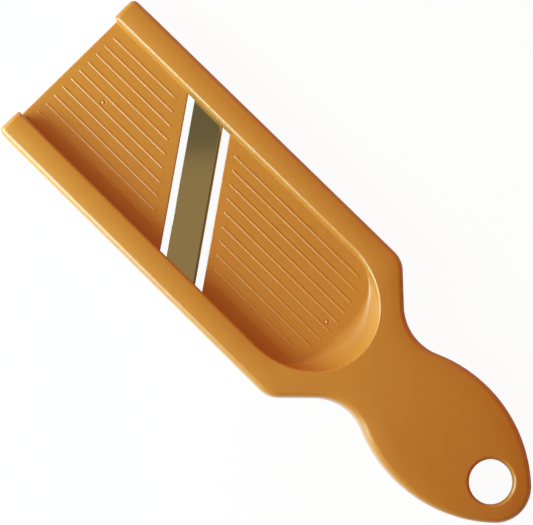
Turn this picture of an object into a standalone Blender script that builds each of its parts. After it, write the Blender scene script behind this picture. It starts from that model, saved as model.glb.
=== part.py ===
"""A green onion slicer: a ribbed tray between two rails, one fixed blade on the skew, and a handle.

Units are metres and +Z is up. The origin is under the middle of the slicer, on the surface that it rests on.
+X runs towards the handle, so the tray's open end is at -X, and the left rail is at +Y.
"""

import math

import bmesh
import bpy
import numpy as np
from mathutils import Matrix

MM = 0.001

# Overall sizes of the frame
LENGTH = 238.0 * MM
WIDTH = 71.4 * MM
HEIGHT = 14.4 * MM
SKIRT_WALL = 2.2 * MM
TOP_WEB = 2.4 * MM
OUTER_DRAFT = math.radians(0.5)
FOOT_CHAMFER = 0.4 * MM
HOLLOW_EDGE = 1.0 * MM

# Outline seen from above: rail corners, shoulders, neck, handle and tip
END_CORNER_RADIUS = 2.4 * MM
SHOULDER_START = 137.5 * MM  # from the open end
SHOULDER_RADIUS = 10.0 * MM
SHOULDER_ANGLE = math.radians(44.0)
NECK_RADIUS = 19.2 * MM
HANDLE_WIDTH = 48.5 * MM
HANDLE_SIDE_RADIUS = 54.0 * MM
HANDLE_WIDEST = 41.0 * MM  # from the tip

# Rounded top edges of the outline
END_EDGE_RADIUS = 2.2 * MM
RAIL_EDGE_RADIUS = 1.9 * MM
HANDLE_EDGE_RADIUS = 2.6 * MM
END_EDGE_BLEND = 4.0 * MM

# The handle's top curves down from here to the tip
BEND_START = 153.0 * MM  # from the open end
HANDLE_DROP = 6.4 * MM

# Tray: flat plates between drafted walls, and a scooped well behind them
PLATE_TOP = 5.0 * MM
PLATE_THICKNESS = 2.2 * MM
RAIL_WIDTH = 10.6 * MM  # at the plates
TRAY_WALL = 2.3 * MM
TRAY_DRAFT = math.radians(1.0)
TRAY_FOOT_RADIUS = 0.25 * MM
RIM_RADIUS = 1.2 * MM
WELL_RIM_RADIUS = 0.5 * MM
MOUTH_RADIUS = 1.1 * MM
PLATE_END_RADIUS = 0.4 * MM
WELL_START = 125.6 * MM  # from the open end
WELL_FLOOR_REACH = 17.8 * MM
WELL_RIM_REACH = 29.5 * MM
WELL_FLOOR_SQUARENESS = 3.0
WELL_RIM_SQUARENESS = 2.0

# Blade and the window that it crosses
BLADE_WIDTH = 12.4 * MM
BLADE_THICKNESS = 0.6 * MM
BLADE_EDGE = 0.12 * MM
BLADE_BEVEL = 1.3 * MM
BLADE_SKEW = math.radians(34.9)
BLADE_CENTRE = 67.8 * MM  # from the open end
BLADE_RISE = 1.0 * MM  # blade's top above the plates
SLOT_WIDTH = 3.0 * MM
WINDOW_LEDGE = 0.1 * MM
GAP = 0.3 * MM

# Fine ribs on both plates
RIB_COUNT = 10
RIB_SIDE_MARGIN = 4.9 * MM
RIB_HEIGHT = 0.2 * MM
RIB_BASE = 1.2 * MM
RIB_CREST = 0.5 * MM
RIB_SINK = 0.5 * MM
RIB_END_MARGIN = 3.3 * MM
RIB_ENTRY_MARGIN = 4.1 * MM
RIB_EXIT_MARGIN = 3.2 * MM
RIB_WELL_MARGIN = 2.2 * MM
RIB_WELL_RADIUS = 34.8 * MM

# Hanging hole and the ribs inside the handle
HOLE_RADIUS = 8.3 * MM
HOLE_FROM_TIP = 15.9 * MM
HOLE_RIM_RADIUS = 1.5 * MM
HOLE_DEPTH = 4.5 * MM
COLLAR_WALL = 2.2 * MM
STIFFENER = 1.6 * MM
STIFFENER_FOOT = 3.6 * MM
CROSS_RIBS = 2
CROSS_RIB_START = 174.0 * MM  # from the open end
CROSS_RIB_PITCH = 20.0 * MM

# Blade fixing inside the rails
SEAT_LENGTH = 33.0 * MM
KEEPER_HEIGHT = 3.4 * MM
PEG_RADIUS = 1.0 * MM
PEG_REACH = 1.4 * MM  # below the seat
SCREW_OFFSET = 12.6 * MM
SCREW_RADIUS = 1.1 * MM
SCREW_LENGTH = 8.0 * MM
SCREW_HEAD_RADIUS = 2.1 * MM
SCREW_HEAD_HEIGHT = 1.5 * MM
SCREW_HEAD_CROWN = 0.5 * MM

# Facets
ARC_STEPS = 6
SIDE_STEPS = 14
WELL_STEPS = 14
EDGE_STEPS = 4
ROUND_STEPS = 32
SCREW_STEPS = 16
OVERCUT = 1.5 * MM

# Places worked out from the sizes above
OPEN_END = -LENGTH / 2
TIP = LENGTH / 2
SIDE = WIDTH / 2
TRAY_SIDE = SIDE - RAIL_WIDTH
RIB_PITCH = 2 * (TRAY_SIDE - RIB_SIDE_MARGIN) / (RIB_COUNT - 1)
TRAY_DEPTH = HEIGHT - PLATE_TOP
WELL_X = OPEN_END + WELL_START
BEND_X = OPEN_END + BEND_START
HOLE_X = TIP - HOLE_FROM_TIP
BLADE_X = OPEN_END + BLADE_CENTRE
BLADE_TOP = PLATE_TOP + BLADE_RISE
BLADE_BOTTOM = BLADE_TOP - BLADE_THICKNESS
CHANNEL_INNER = TRAY_SIDE + TRAY_WALL + TRAY_DEPTH * math.tan(TRAY_DRAFT) / 2
CHANNEL_OUTER = SIDE - SKIRT_WALL
CHANNEL_MIDDLE = (CHANNEL_INNER + CHANNEL_OUTER) / 2
BLADE_END = CHANNEL_OUTER - 2 * GAP
KEEPER_TOP = BLADE_TOP - GAP
KEEPER_BOTTOM = KEEPER_TOP - KEEPER_HEIGHT
WINDOW_WIDTH = BLADE_WIDTH + 2 * SLOT_WIDTH
PLASTIC_ORANGE = (0.58, 0.25, 0.042, 1.0)
STEEL_GREY = (0.62, 0.6, 0.56, 1.0)


def clear_scene():
    for old in list(bpy.data.objects):
        bpy.data.objects.remove(old, do_unlink=True)


def new_collection(name):
    collection = bpy.data.collections.new(name)
    bpy.context.scene.collection.children.link(collection)
    return collection


def principled(name, colour, roughness, metallic):
    """A plain Principled BSDF material."""
    made = bpy.data.materials.new(name)
    made.use_nodes = True
    shader = made.node_tree.nodes["Principled BSDF"]
    shader.inputs["Base Color"].default_value = colour
    shader.inputs["Roughness"].default_value = roughness
    shader.inputs["Metallic"].default_value = metallic
    made.diffuse_color = colour
    return made


def add_object(name, mesh, collection, material=None):
    made = bpy.data.objects.new(name, mesh)
    collection.objects.link(made)
    if material:
        mesh.materials.append(material)
        mesh.shade_smooth()
        mesh.set_sharp_from_angle(angle=math.radians(30))
    else:
        made.hide_render = True
        made.display_type = "WIRE"
    return made


def mesh_from(name, points, faces):
    """A closed mesh with its normals turned outwards and doubled points merged."""
    mesh = bpy.data.meshes.new(name)
    mesh.from_pydata([tuple(point) for point in points], [], faces)
    shape = bmesh.new()
    shape.from_mesh(mesh)
    bmesh.ops.remove_doubles(shape, verts=shape.verts, dist=1e-7)
    bmesh.ops.recalc_face_normals(shape, faces=shape.faces)
    shape.to_mesh(mesh)
    shape.free()
    return mesh


def mesh_of(name, shape):
    mesh = bpy.data.meshes.new(name)
    shape.to_mesh(mesh)
    shape.free()
    return mesh


def box_mesh(name, low, high, skew=0.0):
    """A box between two corners. Skew slides each point along X by its own Y, as a leaning strip does."""
    low = np.array(low)
    high = np.array(high)
    shape = bmesh.new()
    bmesh.ops.create_cube(shape, size=1.0)
    middle = (low + high) / 2
    place = Matrix.Translation(middle) @ Matrix.Diagonal((*(high - low), 1.0))
    bmesh.ops.transform(shape, matrix=place, verts=shape.verts)
    for corner in shape.verts:
        corner.co.x -= skew * corner.co.y
    return mesh_of(name, shape)


def rod_mesh(name, x, y, radius, low, high):
    """An upright cylinder."""
    shape = bmesh.new()
    place = Matrix.Translation((x, y, (low + high) / 2))
    bmesh.ops.create_cone(
        shape, cap_ends=True, segments=ROUND_STEPS, radius1=radius, radius2=radius, depth=high - low, matrix=place
    )
    return mesh_of(name, shape)


def boolean(target, operand, operation="DIFFERENCE"):
    modifier = target.modifiers.new(operand.name, "BOOLEAN")
    modifier.operation = operation
    modifier.object = operand
    modifier.solver = "EXACT"


def baked_mesh(target, name):
    """The object's mesh with its modifiers applied."""
    graph = bpy.context.evaluated_depsgraph_get()
    mesh = bpy.data.meshes.new_from_object(target.evaluated_get(graph))
    mesh.name = name
    return mesh


def arc(centre, radius, start, end, steps, side=1.0):
    """Points on an arc and their outward directions. On a hollow arc side is -1, and outward is to its centre."""
    angles = np.linspace(start, end, steps + 1)
    out = np.stack([np.cos(angles), np.sin(angles)], axis=1)
    return np.asarray(centre) + radius * out, side * out


def bearing(origin, target):
    step = np.asarray(target) - np.asarray(origin)
    return math.atan2(step[1], step[0])


def outline_centres():
    """Centres of the outline's arcs, each tangent to the next, and the tip's radius."""
    shoulder = np.array([OPEN_END + SHOULDER_START, SIDE - SHOULDER_RADIUS])
    side = np.array([TIP - HANDLE_WIDEST, HANDLE_WIDTH / 2 - HANDLE_SIDE_RADIUS])
    depth = -side[1]
    tip_radius = (HANDLE_SIDE_RADIUS**2 - HANDLE_WIDEST**2 - depth**2) / (2 * (HANDLE_SIDE_RADIUS - HANDLE_WIDEST))
    tip = np.array([TIP - tip_radius, 0.0])
    out = np.array([math.sin(SHOULDER_ANGLE), math.cos(SHOULDER_ANGLE)])
    along = np.array([out[1], -out[0]])
    foot = shoulder + (SHOULDER_RADIUS + NECK_RADIUS) * out
    back = foot - side
    reach = HANDLE_SIDE_RADIUS + NECK_RADIUS
    half = back @ along
    travel = -half - math.sqrt(half**2 - back @ back + reach**2)
    neck = foot + travel * along
    return shoulder, neck, side, tip, tip_radius


def half_outline(inset=0.0):
    """The frame's outline at +Y from the open end to the tip, drawn in by inset, with outward directions."""
    shoulder, neck, side, tip, tip_radius = outline_centres()
    corner_radius = max(END_CORNER_RADIUS - inset, GAP)
    corner = (OPEN_END + inset + corner_radius, SIDE - inset - corner_radius)
    right = math.pi / 2
    pieces = [arc(corner, corner_radius, math.pi, right, ARC_STEPS)]
    for x in np.linspace(OPEN_END + END_EDGE_BLEND, shoulder[0], 5)[:-1]:
        pieces.append((np.array([[x, SIDE - inset]]), np.array([[0.0, 1.0]])))
    pieces.append(arc(shoulder, SHOULDER_RADIUS - inset, right, right - SHOULDER_ANGLE, ARC_STEPS))
    neck_start = 3 * right - SHOULDER_ANGLE
    neck_end = bearing(neck, side) + 4 * right
    pieces.append(arc(neck, NECK_RADIUS + inset, neck_start, neck_end, SIDE_STEPS, side=-1.0))
    side_start = bearing(side, neck)
    side_end = bearing(side, tip)
    pieces.append(arc(side, HANDLE_SIDE_RADIUS - inset, side_start, side_end, SIDE_STEPS))
    pieces.append(arc(tip, tip_radius - inset, side_end, 0.0, ARC_STEPS + 2))
    points = np.vstack([piece[0] for piece in pieces])
    out = np.vstack([piece[1] for piece in pieces])
    fresh = np.append(True, np.linalg.norm(np.diff(points, axis=0), axis=1) > 1e-6)
    points[-1, 1] = 0.0
    return points[fresh], out[fresh]


def top_height(x):
    """Height of the flat top: level on the tray, then falling along a parabola to the handle's tip."""
    along = np.clip((np.asarray(x) - BEND_X) / (TIP - BEND_X), 0.0, None)
    return HEIGHT - HANDLE_DROP * along**2


def edge_radius(x):
    neck = outline_centres()[1][0]
    places = [OPEN_END, OPEN_END + END_EDGE_BLEND, OPEN_END + SHOULDER_START, neck]
    return np.interp(x, places, [END_EDGE_RADIUS, RAIL_EDGE_RADIUS, RAIL_EDGE_RADIUS, HANDLE_EDGE_RADIUS])


def symmetric_loft(name, halves):
    """A closed solid through level rings, lowest first.

    Each ring is given by its +Y half: rows of x, y, z from the open end to a last point on the axis.
    """
    count = len(halves[0])
    around = 2 * count - 1
    points = np.vstack([np.vstack([half, half[-2::-1] * (1, -1, 1)]) for half in halves])
    faces = []
    for level in range(len(halves) - 1):
        start = level * around
        for i in range(around):
            j = (i + 1) % around
            faces.append((start + i, start + j, start + around + j, start + around + i))
    for start in (0, (len(halves) - 1) * around):
        for i in range(count - 2):
            faces.append((start + i, start + i + 1, start + around - 2 - i, start + around - 1 - i))
        faces.append((start + count - 2, start + count - 1, start + count))
    return mesh_from(name, points, faces)


def ring(points, heights):
    return np.column_stack([points, np.broadcast_to(heights, len(points))])


def frame_envelope():
    """The frame's outer form: drafted skirt and rounded top edge along the whole outline."""
    points, out = half_outline()
    tops = top_height(points[:, 0])
    radii = edge_radius(points[:, 0])
    flare = (tops - radii) * math.tan(OUTER_DRAFT)
    halves = [ring(points + out * (flare[:, None] - FOOT_CHAMFER), 0.0)]
    halves.append(ring(points + out * flare[:, None], FOOT_CHAMFER))
    for turn in np.linspace(0.0, math.pi / 2, EDGE_STEPS + 1):
        drawn_in = radii * (1 - math.cos(turn))
        halves.append(ring(points - out * drawn_in[:, None], tops - radii * (1 - math.sin(turn))))
    return symmetric_loft("frame_envelope", halves)


def hollow_envelope():
    """The space inside the skirt and under the top web, open below."""
    halves = []
    for inset, drop in ((0.0, None), (0.0, HOLLOW_EDGE), (0.3 * HOLLOW_EDGE, 0.3 * HOLLOW_EDGE), (HOLLOW_EDGE, 0.0)):
        points, out = half_outline(SKIRT_WALL + inset)
        tops = top_height(points[:, 0]) - TOP_WEB
        if drop is None:
            lean = tops * math.tan(OUTER_DRAFT)
            halves.append(ring(points + out * lean[:, None], -OVERCUT))
        else:
            halves.append(ring(points, tops - drop))
    return symmetric_loft("hollow_envelope", halves)


def tray_half_width(height):
    """Half the tray's width at a height above the plates, with the wall's foot and rim fillets."""
    width = TRAY_SIDE + height * math.tan(TRAY_DRAFT)
    below = TRAY_FOOT_RADIUS - height
    if below > 0:
        width -= TRAY_FOOT_RADIUS - math.sqrt(TRAY_FOOT_RADIUS**2 - below**2)
    above = height - (TRAY_DEPTH - RIM_RADIUS)
    if above > 0:
        width += RIM_RADIUS - math.sqrt(max(RIM_RADIUS**2 - above**2, 0.0))
    return width


def well_reach(height):
    """How far the well reaches behind its start: a quarter ellipse from the floor up to the rim."""
    rise = min(height / TRAY_DEPTH, 1.0)
    swing = math.sqrt(1 - (1 - rise) ** 2)
    reach = WELL_FLOOR_REACH + (WELL_RIM_REACH - WELL_FLOOR_REACH) * swing
    above = (height - (TRAY_DEPTH - RIM_RADIUS)) / RIM_RADIUS
    if above > 0:
        reach += WELL_RIM_RADIUS * (1 - math.sqrt(max(1 - above**2, 0.0)))
    power = WELL_FLOOR_SQUARENESS + (WELL_RIM_SQUARENESS - WELL_FLOOR_SQUARENESS) * swing
    return reach, power


def tray_half(height, grown=0.0):
    """One level ring of the tray at +Y: flared mouth, straight wall and a superellipse round the well."""
    width = tray_half_width(height) + grown
    reach, power = well_reach(height)
    right = math.pi / 2
    mouth = (OPEN_END + MOUTH_RADIUS, width + MOUTH_RADIUS)
    flare = arc(mouth, MOUTH_RADIUS, 2 * right, 3 * right, EDGE_STEPS)[0]
    start = np.array([[OPEN_END - OVERCUT, width + MOUTH_RADIUS]])
    turn = np.linspace(right, 0.0, WELL_STEPS + 1)
    end_x = WELL_X + (reach + grown) * np.cos(turn) ** (2 / power)
    end_y = width * np.sin(turn) ** (2 / power)
    end_x[0] = WELL_X
    end_y[-1] = 0.0
    return np.vstack([start, flare, np.stack([end_x, end_y], axis=1)])


def tray_levels():
    """Heights above the plates that follow the foot fillet, the wall and the rim fillet."""
    turns = np.linspace(0.0, math.pi / 2, EDGE_STEPS + 1)
    foot = TRAY_FOOT_RADIUS * (1 - np.cos(turns))
    wall = np.linspace(TRAY_FOOT_RADIUS, TRAY_DEPTH - RIM_RADIUS, 5)[1:-1]
    rim = TRAY_DEPTH - RIM_RADIUS * (1 - np.sin(turns))
    return np.concatenate([foot, wall, rim])


def tray_cutter():
    """The open space of the tray and the well, up through the top."""
    halves = [ring(tray_half(height), PLATE_TOP + height) for height in tray_levels()]
    halves.append(ring(tray_half(TRAY_DEPTH), HEIGHT + OVERCUT))
    return symmetric_loft("tray_cutter", halves)


def tray_shell():
    """The tray with its walls and plates as solid, which the hollow underneath leaves standing."""
    under = PLATE_TOP - PLATE_THICKNESS
    levels = tray_levels()[:-EDGE_STEPS]
    halves = [ring(tray_half(height, TRAY_WALL), under + height) for height in levels]
    halves.append(ring(tray_half(levels[-1], TRAY_WALL), HEIGHT + OVERCUT))
    return symmetric_loft("tray_shell", halves)


def hole_cutter():
    """The hanging hole: an upright bore with a rounded rim that follows the sloping top."""
    turns = np.linspace(0.0, math.pi / 2, EDGE_STEPS + 1)
    radii = [HOLE_RADIUS, *(HOLE_RADIUS + HOLE_RIM_RADIUS * (1 - np.cos(turns))), HOLE_RADIUS + HOLE_RIM_RADIUS]
    drops = [-HEIGHT - OVERCUT, *(HOLE_RIM_RADIUS * (np.sin(turns) - 1)), OVERCUT]
    halves = []
    for radius, drop in zip(radii, drops):
        points = arc((HOLE_X, 0.0), radius, math.pi, 0.0, ROUND_STEPS // 2)[0]
        points[-1, 1] = 0.0
        points[0, 1] = 0.0
        halves.append(ring(points, top_height(points[:, 0]) + drop))
    return round_loft("hole_cutter", halves)


def round_loft(name, halves):
    """A closed solid through rings whose +Y halves start and end on the axis."""
    around = 2 * len(halves[0]) - 2
    points = np.vstack([np.vstack([half, half[-2:0:-1] * (1, -1, 1)]) for half in halves])
    faces = []
    for level in range(len(halves) - 1):
        start = level * around
        for i in range(around):
            j = (i + 1) % around
            faces.append((start + i, start + j, start + around + j, start + around + i))
    last = (len(halves) - 1) * around
    faces.append(tuple(range(around)))
    faces.append(tuple(range(last, last + around)))
    return mesh_from(name, points, faces)


def plate_end_cutter():
    """Rounds the top edge of the plate at the open end: what lies outside a quarter round, along Y."""
    turns = np.linspace(math.pi, math.pi / 2, EDGE_STEPS + 1)
    centre = (OPEN_END + PLATE_END_RADIUS, PLATE_TOP - PLATE_END_RADIUS)
    profile = [(OPEN_END - OVERCUT, centre[1])]
    for turn in turns:
        profile.append((centre[0] + PLATE_END_RADIUS * math.cos(turn), centre[1] + PLATE_END_RADIUS * math.sin(turn)))
    profile.append((centre[0], PLATE_TOP + OVERCUT / 2))
    profile.append((OPEN_END - OVERCUT, PLATE_TOP + OVERCUT / 2))
    side = TRAY_SIDE - TRAY_FOOT_RADIUS / 2
    points = [(x, y, z) for y in (-side, side) for x, z in profile]
    count = len(profile)
    faces = [tuple(range(count)), tuple(range(count, 2 * count))]
    for i in range(count):
        j = (i + 1) % count
        faces.append((i, j, count + j, count + i))
    return mesh_from("plate_end_cutter", points, faces)


def window_edge(y, side):
    """X of the window's long edge at y: side -1 is the entry plate's edge, +1 the exit plate's."""
    return BLADE_X - math.tan(BLADE_SKEW) * y + side * WINDOW_WIDTH / 2 / math.cos(BLADE_SKEW)


def skew_strip(name, width, y_low, y_high, z_low, z_high):
    """A strip along the blade's skew, with its ends parallel to the rails."""
    half = width / 2 / math.cos(BLADE_SKEW)
    low = (BLADE_X - half, y_low, z_low)
    high = (BLADE_X + half, y_high, z_high)
    return box_mesh(name, low, high, skew=math.tan(BLADE_SKEW))


def rib_mesh(name):
    """All plate ribs: low bars with a narrower crest, parallel to the rails."""
    points = []
    faces = []
    for i in range(RIB_COUNT):
        y = ((RIB_COUNT - 1) / 2 - i) * RIB_PITCH
        entry_end = window_edge(y, -1) - RIB_ENTRY_MARGIN / math.cos(BLADE_SKEW)
        exit_start = window_edge(y, 1) + RIB_EXIT_MARGIN / math.cos(BLADE_SKEW)
        sagitta = RIB_WELL_RADIUS - math.sqrt(RIB_WELL_RADIUS**2 - y**2)
        exit_end = WELL_X + WELL_FLOOR_REACH - RIB_WELL_MARGIN - sagitta
        for start, end in ((OPEN_END + RIB_END_MARGIN, entry_end), (exit_start, exit_end)):
            add_bar(points, faces, start, end, y)
    return mesh_from(name, points, faces)


def add_bar(points, faces, start, end, y):
    """One bar of trapezoid section, sunk into the plate, with its crest drawn in at both ends."""
    first = len(points)
    taper = (RIB_BASE - RIB_CREST) / 2
    section = (
        (-RIB_BASE / 2, PLATE_TOP - RIB_SINK),
        (RIB_BASE / 2, PLATE_TOP - RIB_SINK),
        (RIB_CREST / 2, PLATE_TOP + RIB_HEIGHT),
        (-RIB_CREST / 2, PLATE_TOP + RIB_HEIGHT),
    )
    for x, inward in ((start, 1), (end, -1)):
        for offset, z in section:
            shift = inward * taper if z > PLATE_TOP else 0.0
            points.append((x + shift, y + offset, z))
    faces.append((first, first + 1, first + 2, first + 3))
    faces.append((first + 4, first + 5, first + 6, first + 7))
    for i in range(4):
        j = (i + 1) % 4
        faces.append((first + i, first + j, first + 4 + j, first + 4 + i))


def hollow_cutter(cutters):
    """The hollow underneath, less what stands in it: tray, seats, handle ribs and the hole's collar."""
    hollow = add_object("hollow_cutter", hollow_envelope(), cutters)
    standing = [tray_shell()]
    for side, name in ((1, "left"), (-1, "right")):
        middle = BLADE_X - side * math.tan(BLADE_SKEW) * CHANNEL_MIDDLE
        near, far = sorted((side * (TRAY_SIDE + TRAY_WALL / 2), side * SIDE))
        low = (middle - SEAT_LENGTH / 2, near, BLADE_TOP)
        high = (middle + SEAT_LENGTH / 2, far, HEIGHT + OVERCUT)
        standing.append(box_mesh("seat_" + name, low, high))
    collar_radius = HOLE_RADIUS + COLLAR_WALL
    collar_low = float(top_height(HOLE_X)) - HOLE_DEPTH
    standing.append(rod_mesh("hole_collar", HOLE_X, 0.0, collar_radius, collar_low, HEIGHT + OVERCUT))
    for i in range(CROSS_RIBS):
        x = OPEN_END + CROSS_RIB_START + i * CROSS_RIB_PITCH
        low = (x - STIFFENER / 2, -SIDE, STIFFENER_FOOT)
        high = (x + STIFFENER / 2, SIDE, HEIGHT + OVERCUT)
        standing.append(box_mesh("handle_cross_rib_%d" % (i + 1), low, high))
    for mesh in standing:
        boolean(hollow, add_object(mesh.name, mesh, cutters))
    return hollow


def screw_places():
    """X and Y of the four keeper screws, left rail first."""
    places = []
    for side in (1, -1):
        middle = BLADE_X - side * math.tan(BLADE_SKEW) * CHANNEL_MIDDLE
        for step in (-side, side):
            places.append((middle + step * SCREW_OFFSET, side * CHANNEL_MIDDLE))
    return places


def peg_places():
    places = []
    for side in (1, -1):
        places.append((BLADE_X - side * math.tan(BLADE_SKEW) * CHANNEL_MIDDLE, side * CHANNEL_MIDDLE))
    return places


def make_frame(parts, cutters, plastic):
    """The one-piece moulding: tray, rails, shoulders and handle."""
    frame = add_object("slicer_frame", frame_envelope(), parts, plastic)
    boolean(frame, add_object("tray_cutter", tray_cutter(), cutters))
    boolean(frame, hollow_cutter(cutters))
    window_side = TRAY_SIDE - WINDOW_LEDGE
    window = skew_strip("window_cutter", WINDOW_WIDTH, -window_side, window_side, -OVERCUT, PLATE_TOP + OVERCUT)
    boolean(frame, add_object("window_cutter", window, cutters))
    pass_width = BLADE_WIDTH + 2 * GAP
    pass_end = BLADE_END + GAP
    passage = skew_strip("blade_passage", pass_width, -pass_end, pass_end, -OVERCUT, BLADE_TOP + GAP)
    boolean(frame, add_object("blade_passage", passage, cutters))
    boolean(frame, add_object("hole_cutter", hole_cutter(), cutters))
    boolean(frame, add_object("plate_end_cutter", plate_end_cutter(), cutters))
    for i, (x, y) in enumerate(screw_places()):
        pilot = rod_mesh("pilot_%d" % (i + 1), x, y, SCREW_RADIUS + GAP, -OVERCUT, KEEPER_BOTTOM + SCREW_LENGTH + GAP)
        boolean(frame, add_object(pilot.name, pilot, cutters))
    boolean(frame, add_object("plate_ribs", rib_mesh("plate_ribs"), cutters), "UNION")
    for (x, y), name in zip(peg_places(), ("peg_left", "peg_right")):
        peg = rod_mesh(name, x, y, PEG_RADIUS, BLADE_TOP - PEG_REACH, BLADE_TOP + PEG_REACH)
        boolean(frame, add_object(name, peg, cutters), "UNION")
    return frame


def blade_mesh():
    """A strip with a bevel along its handle-side edge, extruded on the skew with ends parallel to the rails."""
    half = BLADE_WIDTH / 2
    profile = (
        (-half, BLADE_BOTTOM),
        (half, BLADE_BOTTOM),
        (half, BLADE_BOTTOM + BLADE_EDGE),
        (half - BLADE_BEVEL, BLADE_TOP),
        (-half, BLADE_TOP),
    )
    stretch = 1 / math.cos(BLADE_SKEW)
    lean = math.tan(BLADE_SKEW)
    shape = bmesh.new()
    section = [shape.verts.new((BLADE_X + across * stretch, -BLADE_END, z)) for across, z in profile]
    shape.faces.new(section)
    grown = bmesh.ops.extrude_face_region(shape, geom=shape.faces[:])
    moved = [item for item in grown["geom"] if isinstance(item, bmesh.types.BMVert)]
    bmesh.ops.translate(shape, verts=moved, vec=(0.0, 2 * BLADE_END, 0.0))
    for corner in shape.verts:
        corner.co.x -= lean * corner.co.y
    bmesh.ops.recalc_face_normals(shape, faces=shape.faces)
    return mesh_of("slicing_blade", shape)


def make_blade(parts, cutters, steel):
    """The fixed blade with a locating hole near each end."""
    blade = add_object("slicing_blade", blade_mesh(), parts, steel)
    for (x, y), name in zip(peg_places(), ("blade_hole_left", "blade_hole_right")):
        hole = rod_mesh(name, x, y, PEG_RADIUS + GAP, BLADE_BOTTOM - OVERCUT, BLADE_TOP + OVERCUT)
        boolean(blade, add_object(name, hole, cutters))


def make_keepers(parts, cutters, plastic):
    """Two clamp blocks inside the rails. The right one is the left one turned half round."""
    middle = BLADE_X - math.tan(BLADE_SKEW) * CHANNEL_MIDDLE
    low = (middle - SEAT_LENGTH / 2, CHANNEL_INNER + 2 * GAP, KEEPER_BOTTOM)
    high = (middle + SEAT_LENGTH / 2, CHANNEL_OUTER - 2 * GAP, KEEPER_TOP)
    block = add_object("keeper_block", box_mesh("keeper_block", low, high), cutters)
    tongue_low = PLATE_TOP - PLATE_THICKNESS
    tongue_top = BLADE_BOTTOM - GAP
    tongue = skew_strip(
        "keeper_tongue", BLADE_WIDTH, TRAY_SIDE + GAP / 2, CHANNEL_MIDDLE, tongue_low, tongue_top + GAP / 2
    )
    boolean(block, add_object("keeper_tongue", tongue, cutters), "UNION")
    groove = skew_strip(
        "keeper_groove", BLADE_WIDTH + 2 * GAP, TRAY_SIDE - OVERCUT, SIDE, tongue_top, BLADE_TOP + OVERCUT
    )
    boolean(block, add_object("keeper_groove", groove, cutters))
    peg_x, peg_y = peg_places()[0]
    recess = rod_mesh("peg_recess", peg_x, peg_y, PEG_RADIUS + GAP, BLADE_TOP - PEG_REACH - GAP, BLADE_TOP)
    boolean(block, add_object("peg_recess", recess, cutters))
    for i, (x, y) in enumerate(screw_places()[:2]):
        hole = rod_mesh("keeper_hole_%d" % (i + 1), x, y, SCREW_RADIUS + GAP, -OVERCUT, BLADE_TOP + OVERCUT)
        boolean(block, add_object(hole.name, hole, cutters))
    bpy.context.view_layer.update()
    mesh = baked_mesh(block, "blade_keeper")
    mesh.transform(Matrix.Translation((-BLADE_X, 0.0, 0.0)))
    bpy.data.objects.remove(block, do_unlink=True)
    for name, turn in (("blade_keeper_left", 0.0), ("blade_keeper_right", math.pi)):
        keeper = add_object(name, mesh, parts)
        keeper.location.x = BLADE_X
        keeper.rotation_euler.z = turn
        show(keeper)
    mesh.materials.append(plastic)


def show(made):
    made.hide_render = False
    made.display_type = "TEXTURED"


def screw_profile():
    """A pan-head screw's outer side, from the crown of its head down to the point."""
    crown = SCREW_HEAD_HEIGHT
    edge = SCREW_HEAD_HEIGHT - SCREW_HEAD_CROWN
    return (
        (0.0, crown),
        (SCREW_HEAD_RADIUS * 0.55, crown - SCREW_HEAD_CROWN * 0.15),
        (SCREW_HEAD_RADIUS * 0.88, crown - SCREW_HEAD_CROWN * 0.5),
        (SCREW_HEAD_RADIUS, edge),
        (SCREW_HEAD_RADIUS, 0.0),
        (SCREW_RADIUS, 0.0),
        (SCREW_RADIUS, -SCREW_LENGTH + 1.5 * SCREW_RADIUS),
        (0.0, -SCREW_LENGTH),
    )


def make_screws(parts, steel):
    """Four self-tapping screws, driven up into the rails from below."""
    mesh = bpy.data.meshes.new("keeper_screw")
    profile = screw_profile()
    edges = [(i, i + 1) for i in range(len(profile) - 1)]
    mesh.from_pydata([(x, 0.0, z) for x, z in profile], edges, [])
    mesh.materials.append(steel)
    for i, (x, y) in enumerate(screw_places()):
        screw = add_object("keeper_screw_%d" % (i + 1), mesh, parts)
        show(screw)
        screw.location = (x, y, KEEPER_BOTTOM - GAP)
        screw.rotation_euler.x = math.pi
        turned = screw.modifiers.new("turned", "SCREW")
        turned.steps = SCREW_STEPS
        turned.render_steps = SCREW_STEPS
        turned.use_merge_vertices = True
        turned.merge_threshold = 1e-5
        turned.use_smooth_shade = True


def main():
    clear_scene()
    parts = new_collection("green_onion_slicer")
    cutters = new_collection("cutters")
    orange_plastic = principled("orange_plastic", PLASTIC_ORANGE, 0.32, 0.0)
    blade_steel = principled("blade_steel", STEEL_GREY, 0.28, 1.0)
    screw_steel = principled("screw_steel", STEEL_GREY, 0.35, 1.0)
    make_frame(parts, cutters, orange_plastic)
    make_blade(parts, cutters, blade_steel)
    make_keepers(parts, cutters, orange_plastic)
    make_screws(parts, screw_steel)


main()
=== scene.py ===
import math

import bmesh
import bpy
import numpy as np
from mathutils import Matrix, Vector


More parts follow.
